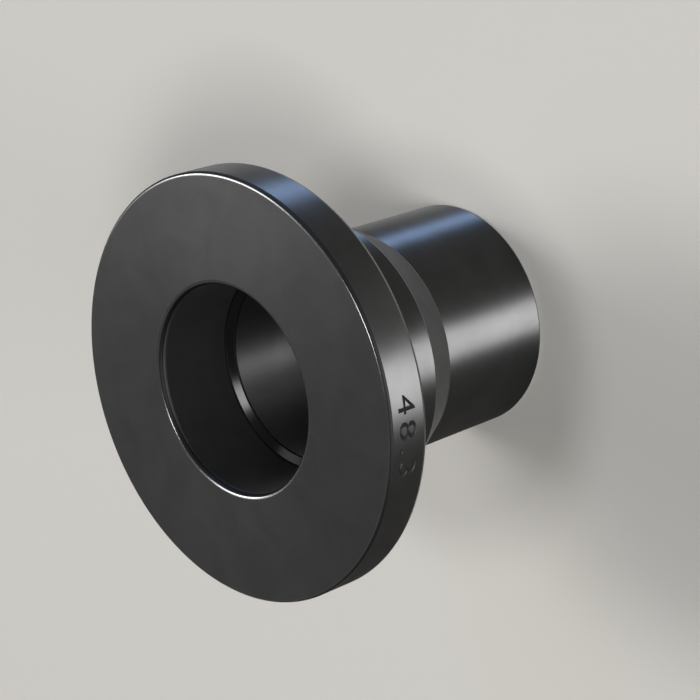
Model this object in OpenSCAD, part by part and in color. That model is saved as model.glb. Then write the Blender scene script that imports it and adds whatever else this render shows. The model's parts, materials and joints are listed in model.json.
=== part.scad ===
// Lap joint stub end, turned from one piece of steel.
// A loose flange slides over the pipe end and the hub, and its bolts pull on the collar's back,
// so that the collar's flat face is pressed on a gasket. The pipe end is butt-welded to a pipe.
// The axis is Z. The part stands on its weld end, at z = 0, with the sealing face on top.

/* [Overall] */
// Length from the weld end to the sealing face
overall_length = 66; // [56:0.5:90]

/* [Collar] */
// Outside diameter of the collar
collar_d = 88; // [80:0.5:110]
// Thickness of the collar
collar_t = 10; // [6:0.5:16]
// Radius on the collar's front edge, round the sealing face
collar_front_r = 0.8; // [0.2:0.1:2]
// Radius on the collar's back edge
collar_back_r = 1; // [0.2:0.1:2]

/* [Hub] */
// Outside diameter of the hub, which the loose flange fits round
hub_d = 58; // [54:0.5:66]
// Length of the hub, from the collar's back to the taper
hub_length = 18.5; // [12:0.5:22]
// Length of the taper, from the hub to the pipe end
taper_length = 9.2; // [4:0.1:14]
// Fillet in the corner between the collar's back and the hub
root_r = 2; // [0.5:0.1:4]
// Radius that blends both ends of the taper
taper_blend_r = 0.5; // [0.2:0.1:4]

/* [Pipe end] */
// Outside diameter of the pipe that is welded on
pipe_d = 48.3; // [46:0.1:51]
// Wall thickness of that pipe
pipe_wall = 4.5; // [3.6:0.1:6]
// Radius on the outer and inner edge of the weld end
weld_edge_r = 0.5; // [0.1:0.1:1]

/* [Bore] */
// Bore diameter at the sealing face
face_bore_d = 43; // [40:0.5:46]
// Depth of the face bore, from the sealing face to the conical step
face_bore_depth = 18; // [12:0.5:26]
// Angle between the conical step and the axis
step_angle = 60; // [30:1:75]
// Radius that blends both ends of the conical step
step_blend_r = 0.4; // [0.1:0.1:1]
// Radius on the mouth of the face bore
mouth_r = 1; // [0.2:0.1:2]

/* [Hidden] */
$fn = 96;

steel_colour = "#3b3c3e";
// A blend uses at most this share of the shorter edge that it meets
blend_share = 0.45;
// How far the kite round an outer corner's arc is carried past the edges, as a factor
kite_reach = 1.4;
// How far a blend's arc swings past the edges it meets
arc_overrun = 0.002;

collar_r = collar_d / 2;
hub_r = hub_d / 2;
pipe_r = pipe_d / 2;
pipe_bore_r = pipe_r - pipe_wall;
face_bore_r = face_bore_d / 2;

// Heights above the weld end
collar_back_z = overall_length - collar_t;
taper_top_z = collar_back_z - hub_length;
taper_foot_z = taper_top_z - taper_length;
step_top_z = overall_length - face_bore_depth;
step_foot_z = step_top_z - abs(face_bore_r - pipe_bore_r) / tan(step_angle);

// Half of the turned section, counter-clockwise: each corner is [radius, height, blend radius]
section_corners = [
    [pipe_bore_r, 0, weld_edge_r],
    [pipe_r, 0, weld_edge_r],
    [pipe_r, taper_foot_z, taper_blend_r],
    [hub_r, taper_top_z, taper_blend_r],
    [hub_r, collar_back_z, root_r],
    [collar_r, collar_back_z, collar_back_r],
    [collar_r, overall_length, collar_front_r],
    [face_bore_r, overall_length, mouth_r],
    [face_bore_r, step_top_z, step_blend_r],
    [pipe_bore_r, step_foot_z, step_blend_r],
];

function place(corner) = [corner.x, corner.y];
function unit(v) = v / norm(v);
function neighbour(corners, i, step) = place(corners[(i + step + len(corners)) % len(corners)]);
function bulges_out(corners, i) =
    let (here = place(corners[i]))
    cross(here - neighbour(corners, i, -1), neighbour(corners, i, 1) - here) > 0;

// The arc that rounds a corner: its radius, its centre and the points where it touches both edges
function blend(corners, i) =
    let (
        here = place(corners[i]),
        back = neighbour(corners, i, -1) - here,
        ahead = neighbour(corners, i, 1) - here,
        half_angle = acos(unit(back) * unit(ahead)) / 2,
        shorter_edge = min(norm(back), norm(ahead)),
        r = min(corners[i].z, blend_share * shorter_edge * tan(half_angle)),
        touch = r / tan(half_angle)
    )
    [
        r,
        here + unit(unit(back) + unit(ahead)) * r / sin(half_angle),
        here + unit(back) * touch,
        here + unit(ahead) * touch,
    ];

// The space that a corner's arc clears: the inside of the arc where the outline turns in, and where it
// bulges out a kite round the arc, carried past both edges. The arc swings a hair past the edges, so
// that it crosses them.
module blend_cut(corners, i) {
    arc = blend(corners, i);
    centre = arc[1];
    translate(centre)
        if (bulges_out(corners, i))
            difference() {
                polygon(kite_reach * [
                    [0, 0],
                    arc[2] - centre,
                    place(corners[i]) - centre,
                    arc[3] - centre,
                ]);
                circle(arc[0] + arc_overrun);
            }
        else
            circle(arc[0] + arc_overrun);
}

// A polygon whose corners are all rounded by true arcs. Each corner where it turns in is first filled
// straight across, from one end of its arc to the other.
module blended_polygon(corners) {
    order = [0 : len(corners) - 1];
    difference() {
        polygon([
            for (i = order)
                let (arc = blend(corners, i))
                each bulges_out(corners, i) ? [place(corners[i])] : [arc[2], arc[3]]
        ]);
        for (i = order) blend_cut(corners, i);
    }
}

// The whole part: collar, hub, taper and pipe end round one stepped bore
module stub_end() {
    color(steel_colour)
        rotate_extrude() blended_polygon(section_corners);
}

stub_end();
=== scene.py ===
"""Lap joint stub end: the turned steel body with its engraved rim, on a pale studio floor."""

import json
import math
from collections import namedtuple

import bmesh
import bpy
from bpy.props import FloatProperty, FloatVectorProperty, IntProperty, PointerProperty, StringProperty
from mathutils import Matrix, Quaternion, Vector


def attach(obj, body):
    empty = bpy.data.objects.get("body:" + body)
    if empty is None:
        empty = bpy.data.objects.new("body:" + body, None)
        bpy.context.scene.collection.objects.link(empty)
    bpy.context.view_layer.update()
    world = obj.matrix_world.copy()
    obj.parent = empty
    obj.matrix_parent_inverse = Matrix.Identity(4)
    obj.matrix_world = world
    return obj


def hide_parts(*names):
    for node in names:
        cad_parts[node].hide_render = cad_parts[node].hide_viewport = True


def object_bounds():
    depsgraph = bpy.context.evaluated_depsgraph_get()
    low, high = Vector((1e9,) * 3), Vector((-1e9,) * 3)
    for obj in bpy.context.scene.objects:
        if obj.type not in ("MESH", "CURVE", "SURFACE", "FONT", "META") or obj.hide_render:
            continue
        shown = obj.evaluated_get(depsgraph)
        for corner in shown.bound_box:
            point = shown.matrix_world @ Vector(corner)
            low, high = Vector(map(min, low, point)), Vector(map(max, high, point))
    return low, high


bl_info = {
    "name": "Lap Joint Stub End",
    "version": (1, 0, 0),
    "blender": (4, 5, 0),
    "location": "3D View > Sidebar > Stub End",
    "description": "Turns the body of a lap joint stub end, engraves its rim and sets it on a studio floor",
    "category": "Object",
}

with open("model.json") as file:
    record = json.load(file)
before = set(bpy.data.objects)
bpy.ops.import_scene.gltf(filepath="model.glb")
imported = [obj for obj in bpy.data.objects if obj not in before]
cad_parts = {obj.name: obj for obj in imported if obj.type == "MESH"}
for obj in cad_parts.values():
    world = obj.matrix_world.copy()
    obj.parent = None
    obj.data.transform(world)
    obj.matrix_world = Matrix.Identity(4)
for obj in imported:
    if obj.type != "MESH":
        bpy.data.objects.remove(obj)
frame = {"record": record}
CAD_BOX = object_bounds()
MOUNTS = {mount["name"]: mount for mount in frame["record"]["mounts"]}

MM = 0.001
# Points of the turned section that are closer than this are one point
SAME_PLACE = 0.001 * MM
AXIS = Vector((0, 0, 1))
BODY_NAME = "stub_end_body"
# The black oxide dulls what the steel mirrors at a glancing angle
EDGE_TINT = (0.5, 0.5, 0.5, 1)
# The finishes, in the order of the body's material slots; the rubbed finish's lighter tone is partly wear
# and partly a painted highlight, and the dull finish's nearly black tone is painted shade
TURNED, ROUGH_TURNED, REAMED, CONED, BORED, FACED, ENGRAVED, RUBBED_AND_SHEEN, DULL_SHADE = range(9)
# A corner of the turned section, with the finishes of its rounded edge, where it faces up and elsewhere,
# and of the wall that follows it. A lighter top is partly a painted highlight, a nearly black side painted
# shade
Corner = namedtuple("Corner", "radius height edge_radius edge_top edge_side wall")
# A lamp's place and size, as angles in degrees seen from the part, with its brightness and colour
Softbox = namedtuple("Softbox", "name azimuth elevation width height radiance colour", defaults=["#ffffff"])
# The camera stands at azimuth -90 degrees
SOFTBOXES = (
    # Draws the streak along the outer walls, and hangs too low to shine far into the bore
    Softbox("key_low", azimuth=-112.5, elevation=1.6, width=26, height=2.6, radiance=258),
    # Lights the bores, the step and the floor
    Softbox("key_high", azimuth=-113, elevation=46, width=16, height=12, radiance=18.5),
    # Draws the cool streak along the outer walls, as low as the first
    Softbox("cool_low", azimuth=-6, elevation=1.6, width=12, height=2.6, radiance=222, colour="#aaccff"),
    # Lightens the far side of the sealing face
    Softbox("far_panel", azimuth=50, elevation=40, width=44, height=32, radiance=1.7),
    # Draws the long bright line along the rubbed edges of the collar and the bore's mouth
    Softbox("edge_lamp", azimuth=51, elevation=40, width=16, height=30, radiance=7.5),
    # Draws the short bright line on the near side of those edges
    Softbox("overhead", azimuth=-65, elevation=78, width=14, height=11, radiance=11.5),
)


def mount_radius(name):
    """Radius of a round mount, in metres."""
    return MOUNTS[name]["dims"]["r_mm"] * MM


def mount_height(name):
    """Height of a mount's point above the weld end, in metres."""
    return MOUNTS[name]["pos_m"][2]


def linear(hex_colour):
    """Linear RGB of an sRGB hex value."""
    values = [int(hex_colour[i:i + 2], 16) / 255 for i in (1, 3, 5)]
    return tuple(v / 12.92 if v <= 0.04045 else ((v + 0.055) / 1.055) ** 2.4 for v in values)


# Values that a user would change

class StubEndSizes(bpy.types.PropertyGroup):
    """Sizes of the turned section that the frame's mounts don't give."""
    hub_length: FloatProperty(
        name="Hub length", description="From the collar's back to the taper",
        default=18.5 * MM, unit="LENGTH")
    taper_length: FloatProperty(
        name="Taper length", description="From the hub to the pipe end",
        default=9.2 * MM, unit="LENGTH")
    face_bore_depth: FloatProperty(
        name="Face bore depth", description="From the sealing face to the conical step",
        default=18 * MM, unit="LENGTH")
    step_angle: FloatProperty(
        name="Step angle", description="Between the conical step and the axis",
        default=math.radians(60), subtype="ANGLE")
    collar_front_radius: FloatProperty(
        name="Collar front edge", description="Radius of the edge round the sealing face",
        default=0.8 * MM, unit="LENGTH")
    collar_back_radius: FloatProperty(
        name="Collar back edge", description="Radius of the collar's back edge",
        default=1 * MM, unit="LENGTH")
    root_radius: FloatProperty(
        name="Root fillet", description="Fillet between the collar's back and the hub",
        default=2 * MM, unit="LENGTH")
    taper_radius: FloatProperty(
        name="Taper edges", description="Radius at both ends of the taper",
        default=0.5 * MM, unit="LENGTH")
    weld_edge_radius: FloatProperty(
        name="Weld end edges", description="Radius of both edges of the weld end",
        default=0.5 * MM, unit="LENGTH")
    mouth_radius: FloatProperty(
        name="Bore mouth", description="Radius of the edge between the sealing face and the bore",
        default=1 * MM, unit="LENGTH")
    step_radius: FloatProperty(
        name="Step edges", description="Radius at both ends of the conical step",
        default=0.4 * MM, unit="LENGTH")
    turn_steps: IntProperty(
        name="Steps round", description="Facets round the axis", default=360, min=24)
    edge_segments: IntProperty(
        name="Edge segments", description="Facets across each rounded edge", default=8, min=1)


class StubEndMark(bpy.types.PropertyGroup):
    """The number engraved on the collar's rim."""
    number: StringProperty(
        name="Number", description="Outside diameter of the pipe end, in millimetres",
        default=f"{2 * mount_radius('pipe_end') / MM:.1f}")
    height: FloatProperty(
        name="Height", description="Height of the figures", default=4.4 * MM, unit="LENGTH")
    width: FloatProperty(
        name="Width", description="Length of the number along the rim", default=16 * MM, unit="LENGTH")
    boldness: FloatProperty(
        name="Boldness", description="What each side of a stroke gains on the font's, at the surface",
        default=0.05 * MM, unit="LENGTH")
    depth: FloatProperty(
        name="Depth", description="Depth of the engraving", default=0.28 * MM, unit="LENGTH")
    lean: FloatProperty(
        name="Lean", description="How far a stroke's side leans out from its floor to the surface",
        default=0.16 * MM, unit="LENGTH")
    azimuth: FloatProperty(
        name="Azimuth", description="Place of the number's middle round the axis, from +X",
        default=math.radians(-115), subtype="ANGLE")
    drop: FloatProperty(
        name="Drop", description="From the sealing face to the middle of the figures",
        default=4.7 * MM, unit="LENGTH")


class StubEndFinish(bpy.types.PropertyGroup):
    """Colours and gloss of the steel's finishes, with tones that paint light or shade into some of them."""
    steel_dark: FloatVectorProperty(
        name="Steel, dark", description="Darker tone of the blackened steel",
        default=linear("#515151"), subtype="COLOR")
    steel_light: FloatVectorProperty(
        name="Steel, light", description="Lighter tone of the blackened steel",
        default=linear("#575757"), subtype="COLOR")
    turned_roughness: FloatProperty(
        name="Turned roughness", description="Roughness of the fine-turned walls",
        default=0.5, min=0, max=1, subtype="FACTOR")
    rough_turned_roughness: FloatProperty(
        name="Rough-turned roughness", description="Roughness of the taper",
        default=0.58, min=0, max=1, subtype="FACTOR")
    reamed_roughness: FloatProperty(
        name="Reamed roughness", description="Roughness of the face bore",
        default=0.64, min=0, max=1, subtype="FACTOR")
    coned_roughness: FloatProperty(
        name="Coned roughness", description="Roughness of the conical step",
        default=0.17, min=0, max=1, subtype="FACTOR")
    bored_roughness: FloatProperty(
        name="Bored roughness", description="Roughness of the pipe bore",
        default=0.64, min=0, max=1, subtype="FACTOR")
    faced_roughness: FloatProperty(
        name="Faced roughness", description="Roughness of the flat faces",
        default=0.34, min=0, max=1, subtype="FACTOR")
    engraved_roughness: FloatProperty(
        name="Engraved roughness", description="Roughness of the engraved strokes' sides",
        default=0.52, min=0, max=1, subtype="FACTOR")
    # The rubbed finish is glossy; its lighter tone, below, is partly wear and partly a painted highlight
    rubbed_roughness: FloatProperty(
        name="Rubbed roughness", description="Roughness of the edges that handling has rubbed",
        default=0.2, min=0, max=1, subtype="FACTOR")
    # The dull finish's roughness; its nearly black tone, below, is painted shade
    dull_roughness: FloatProperty(
        name="Dull roughness", description="Roughness where the oxide is thick",
        default=0.6, min=0, max=1, subtype="FACTOR")
    # Darker tone of the taper under the collar: painted shade
    rough_turned_painted_shade_tone: FloatProperty(
        name="Rough-turned tone", description="Brightness of the taper against the outer walls",
        default=0.85, min=0)
    # Lighter tone in the face bore: painted light
    reamed_painted_light_tone: FloatProperty(
        name="Reamed tone", description="Brightness of the face bore against the outer walls",
        default=1.25, min=0)
    # Darker tone of the conical step: painted shade
    coned_painted_shade_tone: FloatProperty(
        name="Coned tone", description="Brightness of the conical step against the outer walls",
        default=0.28, min=0)
    # Lighter tone in the pipe bore: painted light
    bored_painted_light_tone: FloatProperty(
        name="Bored tone", description="Brightness of the pipe bore against the outer walls",
        default=1.5, min=0)
    # Darker tone of the engraved strokes' sides: painted shade
    engraved_painted_shade_tone: FloatProperty(
        name="Engraved tone", description="Brightness of the strokes' sides against the outer walls",
        default=0.75, min=0)
    # Lighter tone of the rubbed edges: partly wear, partly a painted highlight
    rubbed_and_sheen_tone: FloatProperty(
        name="Rubbed tone", description="Brightness of the rubbed edges against the outer walls",
        default=1.85, min=0)
    # Nearly black tone of the dull finish: painted shade
    dull_shade_tone: FloatProperty(
        name="Dull tone", description="Brightness of the thick oxide against the outer walls",
        default=0.17, min=0)


class StubEndStage(bpy.types.PropertyGroup):
    """Floor, light and camera."""
    floor_colour: FloatVectorProperty(
        name="Floor", description="Colour of the floor", default=linear("#cac7c1"), subtype="COLOR")
    floor_size: FloatProperty(
        name="Floor size", description="Length of the floor's sides", default=5, unit="LENGTH")
    backdrop: FloatProperty(
        name="Backdrop", description="Brightness of the surroundings as they are seen",
        default=0.225, min=0)
    fill: FloatProperty(
        name="Fill", description="Brightness of the surroundings as they light the part",
        default=0.05, min=0)
    lamp_distance: FloatProperty(
        name="Lamp distance", description="From the middle of the part to each softbox",
        default=4, unit="LENGTH")
    lamp_spread: FloatProperty(
        name="Lamp spread", description="Angle that the softboxes' grids let through",
        default=math.radians(120), subtype="ANGLE")
    camera_elevation: FloatProperty(
        name="Camera elevation", description="Above the horizon",
        default=math.radians(41.7), subtype="ANGLE")
    camera_roll: FloatProperty(
        name="Camera roll", description="Turn of the camera about its line of sight",
        default=math.radians(-108.9), subtype="ANGLE")
    camera_distance: FloatProperty(
        name="Camera distance", description="From the point aimed at", default=0.4692, unit="LENGTH")
    camera_lens: FloatProperty(
        name="Lens", description="Focal length in millimetres", default=116.3, unit="CAMERA")
    aim_height: FloatProperty(
        name="Aim height", description="Height on the axis that the camera aims at",
        default=32.6 * MM, unit="LENGTH")


# Materials

def add_node(tree, kind, settings=None, values=None, links=None):
    """Adds a node with its properties, its sockets' values and the outputs that feed its sockets."""
    node = tree.nodes.new(kind)
    for name, value in (settings or {}).items():
        setattr(node, name, value)
    for socket, value in (values or {}).items():
        node.inputs[socket].default_value = value
    for socket, source in (links or {}).items():
        tree.links.new(source, node.inputs[socket])
    return node


def blackened_steel(name, finish, roughness, lines_along, values, tone=1):
    """Blackened steel: a dark metal with cloudy patches from the bath and fine tool lines.

    lines_along names what the tool lines follow: the height on a wall, the radius on a flat. The tone
    lightens or darkens the steel; where it is not 1, it paints light or shade into that finish.
    """
    cloud_size = 9 * MM
    speck_size = 1.2 * MM
    # A real feed is about 0.12 mm a turn, drawn coarser here so that it shows
    feed = 0.35 * MM
    line_depth = 1.2e-6
    roughness_swing = 0.01

    material = bpy.data.materials.new(name)
    material.use_nodes = True
    tree = material.node_tree
    tree.nodes.clear()
    place = add_node(tree, "ShaderNodeTexCoord").outputs["Object"]
    clouds = add_node(
        tree, "ShaderNodeTexNoise",
        values={"Scale": 1 / cloud_size, "Detail": 4, "Roughness": 0.55, "Distortion": 0.6},
        links={"Vector": place})
    specks = add_node(
        tree, "ShaderNodeTexNoise", values={"Scale": 1 / speck_size, "Detail": 2}, links={"Vector": place})
    patches = add_node(
        tree, "ShaderNodeMapRange",
        values={"From Min": 0.35, "From Max": 0.65},
        links={"Value": clouds.outputs["Fac"]})
    # The tone scales both steel colours: painted light or shade in the finishes that pass one
    colour = add_node(
        tree, "ShaderNodeMix", settings={"data_type": "RGBA"},
        values={6: (*(finish.steel_dark * tone), 1), 7: (*(finish.steel_light * tone), 1)},
        links={0: patches.outputs["Result"]})
    gloss = add_node(
        tree, "ShaderNodeMapRange",
        values={"From Min": 0.3, "From Max": 0.7,
                "To Min": roughness - roughness_swing, "To Max": roughness + roughness_swing},
        links={"Value": specks.outputs["Fac"]})
    parts = add_node(tree, "ShaderNodeSeparateXYZ", links={"Vector": place})
    if lines_along == "height":
        along = parts.outputs["Z"]
    else:
        flat = add_node(
            tree, "ShaderNodeCombineXYZ",
            links={"X": parts.outputs["X"], "Y": parts.outputs["Y"]})
        along = add_node(
            tree, "ShaderNodeVectorMath", settings={"operation": "LENGTH"},
            links={0: flat.outputs["Vector"]}).outputs["Value"]
    lines = add_node(
        tree, "ShaderNodeTexNoise", settings={"noise_dimensions": "1D"},
        values={"Scale": 1 / feed, "Detail": 2}, links={"W": along})
    bump = add_node(
        tree, "ShaderNodeBump", values={"Strength": 1, "Distance": line_depth},
        links={"Height": lines.outputs["Fac"]})
    shader = add_node(
        tree, "ShaderNodeBsdfPrincipled", values={"Metallic": 1, **values},
        links={"Base Color": colour.outputs[2], "Roughness": gloss.outputs["Result"],
               "Normal": bump.outputs["Normal"]})
    add_node(tree, "ShaderNodeOutputMaterial", links={"Surface": shader.outputs["BSDF"]})
    return material


def turned_steel(finish):
    """Fine-turned wall: lines round the axis draw each highlight out along the axis."""
    return blackened_steel(
        "blackened_steel_turned", finish, finish.turned_roughness, "height",
        {"Anisotropic": 1.0, "Anisotropic Rotation": 0.25, "Specular Tint": EDGE_TINT})


def rough_turned_steel(finish):
    """Rough-turned wall: duller, and its torn lines spread a highlight with no clear direction; its
    slightly darker tone is painted shade.
    """
    return blackened_steel(
        "blackened_steel_rough_turned", finish, finish.rough_turned_roughness, "height", {},
        finish.rough_turned_painted_shade_tone)


def reamed_steel(finish):
    """Reamed bore: matte, so the little light that gets in leaves it an even dark grey; its lighter tone is
    painted light.
    """
    return blackened_steel(
        "blackened_steel_reamed", finish, finish.reamed_roughness, "height", {}, finish.reamed_painted_light_tone)


def coned_steel(finish):
    """Step cut by the side of the reamer: the smoothest wall, dark with one narrow highlight; its dark tone
    is painted shade.
    """
    return blackened_steel(
        "blackened_steel_coned", finish, finish.coned_roughness, "radius", {}, finish.coned_painted_shade_tone)


def bored_steel(finish):
    """Bored wall: lines round the axis and rougher than the outside; its lighter tone is painted light deep
    in the bore.
    """
    return blackened_steel(
        "blackened_steel_bored", finish, finish.bored_roughness, "height",
        {"Anisotropic": 1.0, "Anisotropic Rotation": 0.25}, finish.bored_painted_light_tone)


def faced_steel(finish):
    """Faced flat: a satin face with rings from the tool, which spread a highlight outwards a little."""
    return blackened_steel(
        "blackened_steel_faced", finish, finish.faced_roughness, "radius",
        {"Anisotropic": 0.2, "Anisotropic Rotation": 0.25})


def engraved_steel(finish):
    """Sides of the engraved strokes: matte, darker than a highlight and lighter than a shade; the darker
    tone is painted shade.
    """
    return blackened_steel(
        "blackened_steel_engraved", finish, finish.engraved_roughness, "height", {}, finish.engraved_painted_shade_tone)


def rubbed_and_sheen_steel(finish):
    """Edge that handling has rubbed, smooth and half bare: its lighter tone is partly wear and partly a
    painted highlight, so each lamp shows as a thin bright line.
    """
    return blackened_steel(
        "blackened_steel_rubbed", finish, finish.rubbed_roughness, "height", {}, finish.rubbed_and_sheen_tone)


def dull_shade_steel(finish):
    """Dull and nearly black, as painted shade: on the sides of the collar's front edge and the bore's
    mouth, at the step's edges and on the engraved strokes' floors.
    """
    return blackened_steel(
        "blackened_steel_dull", finish, finish.dull_roughness, "height", {}, finish.dull_shade_tone)


def matte_floor(stage):
    """Painted board: matte and pale."""
    material = bpy.data.materials.new("painted_board_matte")
    material.use_nodes = True
    shader = material.node_tree.nodes["Principled BSDF"]
    shader.inputs["Base Color"].default_value = (*stage.floor_colour, 1)
    shader.inputs["Roughness"].default_value = 0.9
    shader.inputs["Specular IOR Level"].default_value = 0
    return material


# Body

def section_corners(sizes):
    """Half of the turned section, counter-clockwise."""
    collar_r = CAD_BOX[1].x
    hub_r = mount_radius("hub")
    pipe_r = mount_radius("pipe_end")
    face_bore_r = mount_radius("face_bore")
    pipe_bore_r = mount_radius("pipe_bore")
    weld_z = mount_height("weld_end")
    back_z = mount_height("lap_back")
    face_z = mount_height("sealing_face")
    taper_top_z = back_z - sizes.hub_length
    taper_foot_z = taper_top_z - sizes.taper_length
    step_top_z = face_z - sizes.face_bore_depth
    step_foot_z = step_top_z - (face_bore_r - pipe_bore_r) / math.tan(sizes.step_angle)
    return [
        # The rubbed edges' lighter tone is partly wear and partly a painted highlight; the dull tone, on
        # the sides of the front edge and mouth and at the step, is painted shade
        Corner(pipe_bore_r, weld_z, sizes.weld_edge_radius, BORED, BORED, FACED),
        Corner(pipe_r, weld_z, sizes.weld_edge_radius, RUBBED_AND_SHEEN, RUBBED_AND_SHEEN, TURNED),
        Corner(pipe_r, taper_foot_z, sizes.taper_radius, RUBBED_AND_SHEEN, RUBBED_AND_SHEEN, ROUGH_TURNED),
        Corner(hub_r, taper_top_z, sizes.taper_radius, RUBBED_AND_SHEEN, RUBBED_AND_SHEEN, TURNED),
        Corner(hub_r, back_z, sizes.root_radius, TURNED, TURNED, FACED),
        Corner(collar_r, back_z, sizes.collar_back_radius, RUBBED_AND_SHEEN, RUBBED_AND_SHEEN, TURNED),
        Corner(collar_r, face_z, sizes.collar_front_radius, RUBBED_AND_SHEEN, DULL_SHADE, FACED),
        Corner(face_bore_r, face_z, sizes.mouth_radius, RUBBED_AND_SHEEN, DULL_SHADE, REAMED),
        Corner(face_bore_r, step_top_z, sizes.step_radius, DULL_SHADE, DULL_SHADE, CONED),
        Corner(pipe_bore_r, step_foot_z, sizes.step_radius, DULL_SHADE, DULL_SHADE, BORED),
    ]


def turn_wall(bm, start, end, steps):
    """Spins the straight stretch of the section between two corners round the axis."""
    made_before = set(bm.faces)
    ends = [bm.verts.new((corner.radius, 0, corner.height)) for corner in (start, end)]
    stretch = bm.edges.new(ends)
    bmesh.ops.spin(
        bm, geom=[*ends, stretch], cent=(0, 0, 0), axis=AXIS, angle=math.tau, steps=steps, use_merge=True)
    for face in set(bm.faces) - made_before:
        face.material_index = start.wall


def round_ring(bm, before, corner, after, segments):
    """Rounds the ring of edges at one corner of the section to the corner's edge radius."""
    # A facet counts as facing up while it tilts by less than this angle; above it an edge can carry a
    # painted highlight, below it painted shade
    faces_up_from = math.cos(math.radians(38))
    ring = [
        edge for edge in bm.edges
        if all(abs(vert.co.xy.length - corner.radius) < SAME_PLACE
               and abs(vert.co.z - corner.height) < SAME_PLACE
               for vert in edge.verts)
    ]
    start, here, end = (Vector((place.radius, place.height)) for place in (before, corner, after))
    turn = (here - start).angle(end - here)
    rounded = bmesh.ops.bevel(
        bm, geom=ring, affect="EDGES", offset=corner.edge_radius * math.tan(turn / 2), offset_type="OFFSET",
        segments=segments, profile=0.5, material=-1)
    for face in rounded["faces"]:
        # Upward-facing facets take the edge's top finish, the others its side finish: a lighter top is
        # partly a painted highlight, a nearly black side painted shade
        face.normal_update()
        face.material_index = corner.edge_top if face.normal.z > faces_up_from else corner.edge_side


def turned_mesh(name, sizes):
    """Mesh of the whole turned body."""
    corners = section_corners(sizes)
    count = len(corners)
    bm = bmesh.new()
    for i, corner in enumerate(corners):
        turn_wall(bm, corner, corners[(i + 1) % count], sizes.turn_steps)
    bmesh.ops.remove_doubles(bm, verts=bm.verts, dist=SAME_PLACE)
    bmesh.ops.recalc_face_normals(bm, faces=bm.faces)
    for i, corner in enumerate(corners):
        round_ring(bm, corners[i - 1], corner, corners[(i + 1) % count], sizes.edge_segments)
    for face in bm.faces:
        face.smooth = True
    mesh = bpy.data.meshes.new(name)
    bm.to_mesh(mesh)
    bm.free()
    return mesh


# Engraving

def number_outline(mark):
    """Flat mesh of the number, sized to the mark and centred on the origin."""
    letters = bpy.data.curves.new("rim_number", "FONT")
    letters.body = mark.number
    letters.resolution_u = 5
    letters.space_character = 1.25
    holder = bpy.data.objects.new("rim_number", letters)
    bpy.context.scene.collection.objects.link(holder)
    bpy.context.view_layer.update()
    mesh = bpy.data.meshes.new_from_object(holder.evaluated_get(bpy.context.evaluated_depsgraph_get()))
    bpy.data.objects.remove(holder)
    bpy.data.curves.remove(letters)
    bm = bmesh.new()
    bm.from_mesh(mesh)
    bpy.data.meshes.remove(mesh)
    low = Vector([min(vert.co[i] for vert in bm.verts) for i in range(3)])
    high = Vector([max(vert.co[i] for vert in bm.verts) for i in range(3)])
    bmesh.ops.translate(bm, vec=-(low + high) / 2, verts=bm.verts)
    bmesh.ops.scale(
        bm, vec=(mark.width / (high.x - low.x), mark.height / (high.y - low.y), 1), verts=bm.verts)
    return bm


def number_cutter(mark, rim_radius, middle_height):
    """Closed mesh of the number, bent round the rim, that reaches from the engraving's floor to outside."""
    bend_step = 0.4 * MM
    stand_off = 0.1 * MM
    # Points of the font that are closer than this would cross when the strokes are widened
    closest_points = 0.05 * MM
    bm = number_outline(mark)
    bmesh.ops.remove_doubles(bm, verts=bm.verts, dist=closest_points)
    floors = set(bm.faces)
    raised = bmesh.ops.extrude_face_region(bm, geom=bm.faces[:])["geom"]
    bmesh.ops.translate(
        bm, vec=(0, 0, mark.depth + stand_off),
        verts=[part for part in raised if isinstance(part, bmesh.types.BMVert)])
    bm.normal_update()
    # The strokes' floors are nearly black as painted shade; their sides take the engraved tone, also
    # painted shade
    for face in bm.faces:
        face.material_index = DULL_SHADE if face in floors else ENGRAVED
    for vert in bm.verts:
        lean = mark.lean * (vert.co.z / mark.depth - 1)
        vert.co.xy += vert.normal.xy.normalized() * (mark.boldness + lean)
    for i in range(1, int(mark.width / bend_step)):
        bmesh.ops.bisect_plane(
            bm, geom=[*bm.verts, *bm.edges, *bm.faces],
            plane_co=(i * bend_step - mark.width / 2, 0, 0), plane_no=(1, 0, 0))
    # The figures stand with their tops to the weld end and are read clockwise, as seen from the face
    for vert in bm.verts:
        along, up, out = vert.co
        azimuth = mark.azimuth - along / rim_radius
        radius = rim_radius - mark.depth + out
        vert.co = (radius * math.cos(azimuth), radius * math.sin(azimuth), middle_height - up)
    mesh = bpy.data.meshes.new("rim_number_cutter")
    bm.to_mesh(mesh)
    bm.free()
    return bpy.data.objects.new("rim_number_cutter", mesh)


def bake_modifiers(body):
    """Replaces the body's mesh by what its modifiers make of it, and removes them."""
    bpy.context.view_layer.update()
    old = body.data
    made = bpy.data.meshes.new_from_object(body.evaluated_get(bpy.context.evaluated_depsgraph_get()))
    body.modifiers.clear()
    body.data = made
    bpy.data.meshes.remove(old)
    made.name = body.name


def mark_sharp_edges(mesh, limit):
    """Keeps edges that turn by more than the limit crisp, such as the engraving's."""
    bm = bmesh.new()
    bm.from_mesh(mesh)
    for edge in bm.edges:
        edge.smooth = not (edge.is_manifold and edge.calc_face_angle() > limit)
    bm.to_mesh(mesh)
    bm.free()


# Operators

class STUBEND_OT_turn_body(bpy.types.Operator):
    """Turn the whole body from its section and give each wall its finish"""
    bl_idname = "stubend.turn_body"
    bl_label = "Turn Body"

    def execute(self, context):
        scene = context.scene
        body = bpy.data.objects.new(BODY_NAME, turned_mesh(BODY_NAME, scene.stub_end_sizes))
        scene.collection.objects.link(body)
        finish = scene.stub_end_finish
        for steel in (turned_steel, rough_turned_steel, reamed_steel, coned_steel, bored_steel,
                      faced_steel, engraved_steel, rubbed_and_sheen_steel, dull_shade_steel):
            body.data.materials.append(steel(finish))
        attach(body, "root")
        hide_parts("stub_end")
        return {"FINISHED"}


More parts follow.
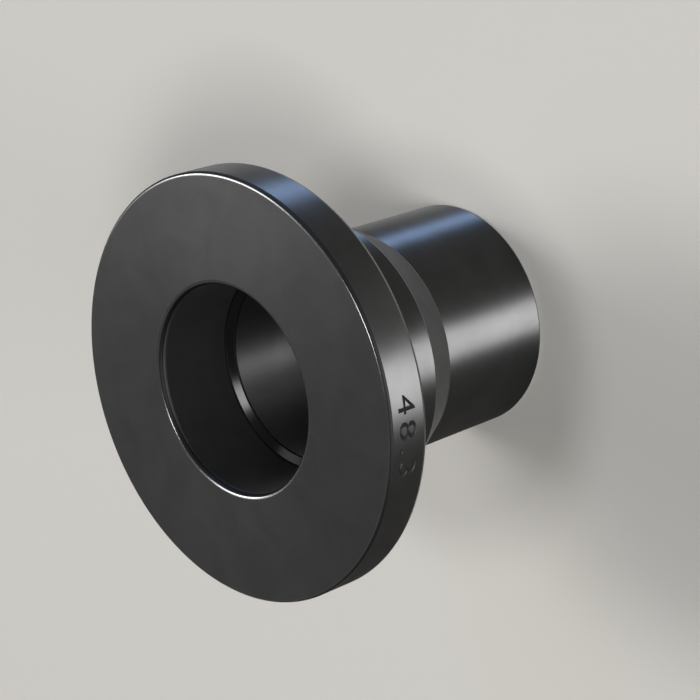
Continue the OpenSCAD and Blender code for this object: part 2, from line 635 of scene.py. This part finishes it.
class STUBEND_OT_engrave_rim(bpy.types.Operator):
    """Engrave the pipe's diameter in the collar's rim and set the body's shading"""
    bl_idname = "stubend.engrave_rim"
    bl_label = "Engrave Rim"

    def execute(self, context):
        crisp_from = math.radians(32)
        scene = context.scene
        body = bpy.data.objects[BODY_NAME]
        mark = scene.stub_end_mark
        cutter = number_cutter(mark, CAD_BOX[1].x, mount_height("sealing_face") - mark.drop)
        for steel in body.data.materials:
            cutter.data.materials.append(steel)
        scene.collection.objects.link(cutter)
        cut = body.modifiers.new("Engraving", "BOOLEAN")
        cut.operation = "DIFFERENCE"
        cut.solver = "EXACT"
        cut.object = cutter
        faces_before = len(body.data.polygons)
        bake_modifiers(body)
        bpy.data.objects.remove(cutter)
        if len(body.data.polygons) <= faces_before:
            raise RuntimeError("the engraving left no mark on the rim")
        mark_sharp_edges(body.data, crisp_from)
        shading = body.modifiers.new("Shading", "WEIGHTED_NORMAL")
        shading.keep_sharp = True
        bake_modifiers(body)
        return {"FINISHED"}


class STUBEND_OT_set_stage(bpy.types.Operator):
    """Set the floor, the lamps, the surroundings and the camera"""
    bl_idname = "stubend.set_stage"
    bl_label = "Set Stage"

    def execute(self, context):
        scene = context.scene
        stage = scene.stub_end_stage
        scene.view_settings.view_transform = "Standard"
        lay_floor(scene, stage)
        set_surroundings(scene, stage)
        for softbox in SOFTBOXES:
            hang_softbox(scene, stage, softbox)
        aim_camera(scene, stage)
        return {"FINISHED"}


# Stage

def lay_floor(scene, stage):
    """A wide flat floor, a hair under the weld end."""
    gap = 0.05 * MM
    bm = bmesh.new()
    bmesh.ops.create_grid(bm, x_segments=1, y_segments=1, size=stage.floor_size / 2)
    bmesh.ops.translate(bm, vec=(0, 0, CAD_BOX[0].z - gap), verts=bm.verts)
    mesh = bpy.data.meshes.new("floor")
    bm.to_mesh(mesh)
    bm.free()
    floor = bpy.data.objects.new("floor", mesh)
    mesh.materials.append(matte_floor(stage))
    scene.collection.objects.link(floor)


def set_surroundings(scene, stage):
    """Even grey surroundings, brighter where they are seen or mirrored than where they light the part."""
    world = bpy.data.worlds.new("studio")
    scene.world = world
    world.use_nodes = True
    tree = world.node_tree
    tree.nodes.clear()
    rays = add_node(tree, "ShaderNodeLightPath")
    seen = add_node(
        tree, "ShaderNodeMath", settings={"operation": "MAXIMUM"},
        links={0: rays.outputs["Is Camera Ray"], 1: rays.outputs["Is Glossy Ray"]})
    seen = add_node(
        tree, "ShaderNodeMath", settings={"operation": "MAXIMUM"},
        links={0: seen.outputs["Value"], 1: rays.outputs["Is Transmission Ray"]})
    strength = add_node(
        tree, "ShaderNodeMapRange", values={"To Min": stage.fill, "To Max": stage.backdrop},
        links={"Value": seen.outputs["Value"]})
    background = add_node(
        tree, "ShaderNodeBackground", values={"Color": (1, 1, 1, 1)},
        links={"Strength": strength.outputs["Result"]})
    add_node(tree, "ShaderNodeOutputWorld", links={"Surface": background.outputs["Background"]})


def hang_softbox(scene, stage, softbox):
    """A softbox with a grid, facing the middle of the part."""
    # What an area lamp takes for each square metre and unit of radiance
    watts_per_radiance = 4
    middle = (CAD_BOX[0] + CAD_BOX[1]) / 2
    turn, tilt = math.radians(softbox.azimuth), math.radians(softbox.elevation)
    outwards = Vector((math.cos(turn) * math.cos(tilt), math.sin(turn) * math.cos(tilt), math.sin(tilt)))
    half_spread = stage.lamp_spread / 2
    # The grid keeps the power and narrows it, which brightens the middle of the beam by this much
    gain = math.tan(half_spread) / (math.tan(half_spread) - half_spread)
    light = bpy.data.lights.new(softbox.name, "AREA")
    light.shape = "RECTANGLE"
    light.size, light.size_y = (
        2 * stage.lamp_distance * math.tan(math.radians(angle) / 2)
        for angle in (softbox.width, softbox.height))
    light.spread = stage.lamp_spread
    light.color = linear(softbox.colour)
    light.energy = softbox.radiance * light.size * light.size_y * watts_per_radiance / gain
    lamp = bpy.data.objects.new(softbox.name, light)
    lamp.location = middle + outwards * stage.lamp_distance
    lamp.rotation_mode = "QUATERNION"
    lamp.rotation_quaternion = outwards.to_track_quat("Z", "Y")
    lamp.visible_camera = False
    scene.collection.objects.link(lamp)


def aim_camera(scene, stage):
    """A long lens on the front left of the face, rolled so that the axis lies across the picture."""
    data = bpy.data.cameras.new("camera")
    data.lens = stage.camera_lens
    camera = bpy.data.objects.new("camera", data)
    tilt = stage.camera_elevation
    outwards = Vector((0, -math.cos(tilt), math.sin(tilt)))
    camera.location = AXIS * stage.aim_height + outwards * stage.camera_distance
    camera.rotation_mode = "QUATERNION"
    camera.rotation_quaternion = outwards.to_track_quat("Z", "Y") @ Quaternion(AXIS, stage.camera_roll)
    scene.collection.objects.link(camera)
    scene.camera = camera


# Sidebar and registration

class STUBEND_PT_sidebar(bpy.types.Panel):
    """Lists the stub end's steps and values."""
    bl_label = "Stub End"
    bl_idname = "STUBEND_PT_sidebar"
    bl_space_type = "VIEW_3D"
    bl_region_type = "UI"
    bl_category = "Stub End"

    def draw(self, context):
        for operator in OPERATORS:
            self.layout.operator(operator.bl_idname)
        for name in PROPERTY_GROUPS:
            group = getattr(context.scene, name)
            box = self.layout.box()
            for field in group.__annotations__:
                box.prop(group, field)


OPERATORS = (STUBEND_OT_turn_body, STUBEND_OT_engrave_rim, STUBEND_OT_set_stage)
PROPERTY_GROUPS = {
    "stub_end_sizes": StubEndSizes,
    "stub_end_mark": StubEndMark,
    "stub_end_finish": StubEndFinish,
    "stub_end_stage": StubEndStage,
}
CLASSES = (*PROPERTY_GROUPS.values(), *OPERATORS, STUBEND_PT_sidebar)


def register():
    for cls in CLASSES:
        bpy.utils.register_class(cls)
    for name, group in PROPERTY_GROUPS.items():
        setattr(bpy.types.Scene, name, PointerProperty(type=group))


def unregister():
    for name in PROPERTY_GROUPS:
        delattr(bpy.types.Scene, name)
    for cls in reversed(CLASSES):
        bpy.utils.unregister_class(cls)


def main():
    register()
    bpy.ops.stubend.turn_body()
    bpy.ops.stubend.engrave_rim()
    bpy.ops.stubend.set_stage()


if __name__ == "__main__":
    main()
